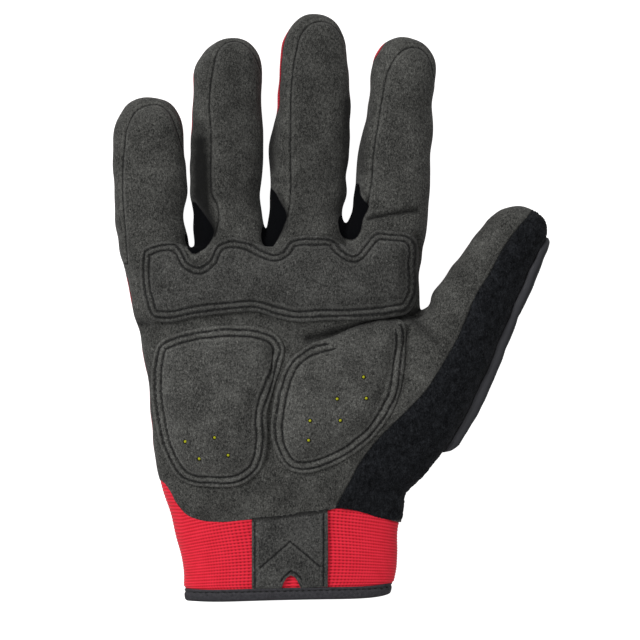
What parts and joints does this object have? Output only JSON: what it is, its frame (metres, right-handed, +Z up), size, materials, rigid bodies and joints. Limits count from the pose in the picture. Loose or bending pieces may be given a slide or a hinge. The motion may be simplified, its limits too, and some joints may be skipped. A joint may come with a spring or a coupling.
{
  "type": "impact glove",
  "caption": "Right-hand impact work glove lying palm up, with quilted suede pads, ribbed knit cuff, terry thumb strip and moulded guards.",
  "frame": {"origin": "centre of the glove's outline seen from above, at the height of the surface it lies on", "axes": "+Y from the cuff to the fingertips, +X to the thumb's side, +Z up, out of the palm"},
  "size_m": [0.1827, 0.2455, 0.0379],
  "materials": {
    "palm_suede": "brushed synthetic suede, charcoal grey",
    "band_suede": "brushed synthetic suede, charcoal grey, with a straight-stitched edge",
    "pad_suede": "brushed synthetic suede over foam, quilted with double stitching",
    "tab_suede": "brushed synthetic suede, charcoal grey",
    "web_knit": "black stretch knit",
    "back_knit": "red stretch knit",
    "terry": "black looped terry",
    "cuff_knit": "red ribbed elastic knit",
    "binding_tape": "dark grey woven tape, stitched",
    "guard_rubber": "matt moulded thermoplastic rubber, dark grey"
  },
  "bodies": {
    "root": {"palm_panel": "palm_suede", "finger_band_little": "band_suede", "finger_band_ring": "band_suede", "finger_band_middle": "band_suede", "finger_band_index": "band_suede", "finger_web_1": "web_knit", "finger_web_2": "web_knit", "finger_web_3": "web_knit", "back_panel": "back_knit", "thumb_terry": "terry", "knuckle_pad": "pad_suede", "hypothenar_pad": "pad_suede", "thenar_pad": "pad_suede", "cuff": "cuff_knit", "cuff_tab": "tab_suede", "hem_binding": "binding_tape", "thumb_guard": "guard_rubber", "knuckle_guard": "guard_rubber", "finger_guard_little": "guard_rubber", "finger_guard_ring": "guard_rubber", "finger_guard_middle": "guard_rubber", "finger_guard_index": "guard_rubber"}
  },
  "joints": []
}
